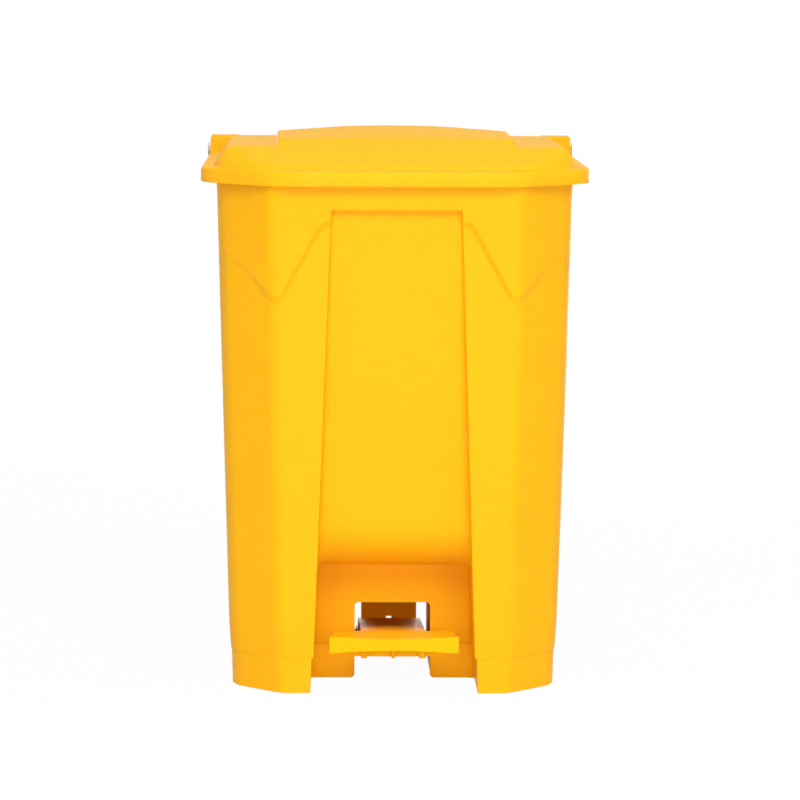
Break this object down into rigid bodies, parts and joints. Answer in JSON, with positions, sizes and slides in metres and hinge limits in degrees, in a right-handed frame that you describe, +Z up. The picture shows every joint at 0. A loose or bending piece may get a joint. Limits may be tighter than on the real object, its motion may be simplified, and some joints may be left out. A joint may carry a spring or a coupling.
{
  "type": "pedal bin",
  "caption": "Hospital pedal bin: drafted plastic bucket with a front foot recess, overhanging hinged lid, and a lever pedal that lifts the lid through a push bar.",
  "frame": {"origin": "on the floor, under the middle of the bounding box", "axes": "+X right as seen from the front, +Y towards the hinge at the back, +Z up"},
  "size_m": [0.422, 0.4, 0.605],
  "materials": {
    "yellow_plastic": "satin moulded polypropylene with a fine grain",
    "steel": "plain zinc-plated steel"
  },
  "bodies": {
    "bin_body": {"body_shell": "yellow_plastic", "pedal_axle": "steel", "axle_clip_left": "steel", "axle_clip_right": "steel", "hinge_pin_left": "steel", "hinge_pin_right": "steel", "hinge_clip_left": "steel", "hinge_clip_right": "steel", "guide_strap_lower": "yellow_plastic", "guide_strap_upper": "yellow_plastic", "strap_screw_lower_left": "steel", "strap_screw_lower_right": "steel", "strap_screw_upper_left": "steel", "strap_screw_upper_right": "steel"},
    "lid": {"lid_shell": "yellow_plastic"},
    "pedal": {"pedal_lever": "yellow_plastic", "lower_link_pin": "steel", "lower_link_clip_left": "steel", "lower_link_clip_right": "steel"},
    "lift_bar": {"push_bar": "yellow_plastic", "upper_link_pin": "steel", "upper_link_clip_left": "steel", "upper_link_clip_right": "steel"}
  },
  "joints": [
    {"name": "lid_hinge", "type": "hinge", "parent": "bin_body", "child": "lid", "pos_m": [0, 0.178, 0.57], "axis": [-1, 0, 0], "range_deg": [0, 75]},
    {"name": "pedal_pivot", "type": "hinge", "parent": "bin_body", "child": "pedal", "pos_m": [0, -0.02, 0.038], "axis": [1, 0, 0], "range_deg": [0, 13.14]},
    {"name": "bar_pivot", "type": "hinge", "parent": "pedal", "child": "lift_bar", "pos_m": [0, 0.151, 0.01832], "axis": [-1, 0, 0], "range_deg": [0, 13.14]}
  ],
  "couplings": [
    {"joint": "pedal_pivot", "follows": "lid_hinge", "ratio": 0.17509},
    {"joint": "bar_pivot", "follows": "lid_hinge", "ratio": 0.17509}
  ]
}
